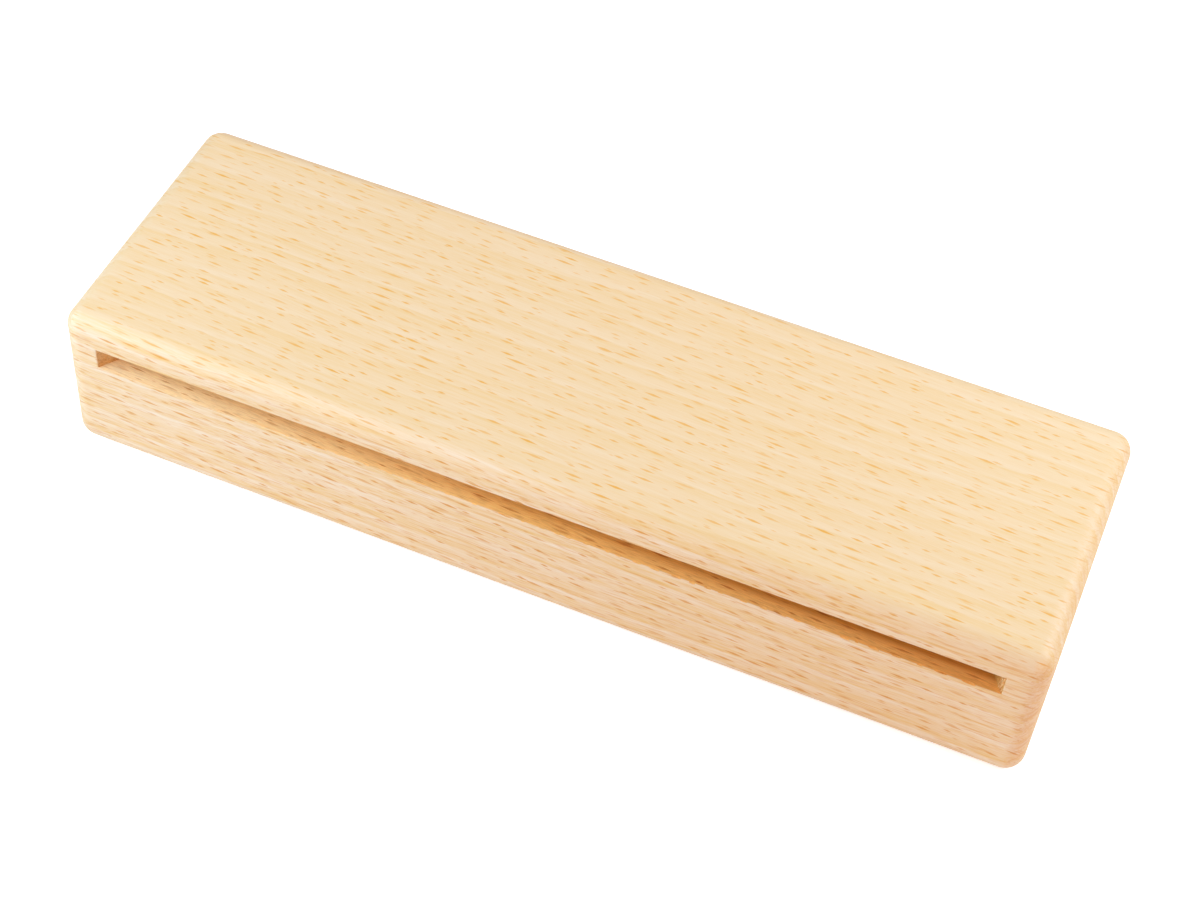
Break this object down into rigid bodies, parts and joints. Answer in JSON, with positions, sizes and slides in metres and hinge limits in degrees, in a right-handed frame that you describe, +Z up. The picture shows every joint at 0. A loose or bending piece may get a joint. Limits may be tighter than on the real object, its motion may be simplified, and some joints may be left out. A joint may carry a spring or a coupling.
{
  "type": "woodblock",
  "caption": "Solid beech woodblock percussion instrument: a rounded bar with a long disc-cut resonance slot under its striking face.",
  "frame": {"origin": "centre of the flat underside that the block rests on", "axes": "+X along the grain and the length, +Z up to the striking face, the slot's mouth on the -Y side"},
  "size_m": [0.2, 0.0624, 0.0355],
  "materials": {
    "beech": "clear satin lacquer on planed beech, straight grain along the length, fine ray flecks"
  },
  "bodies": {
    "root": {"block": "beech"}
  },
  "joints": []
}
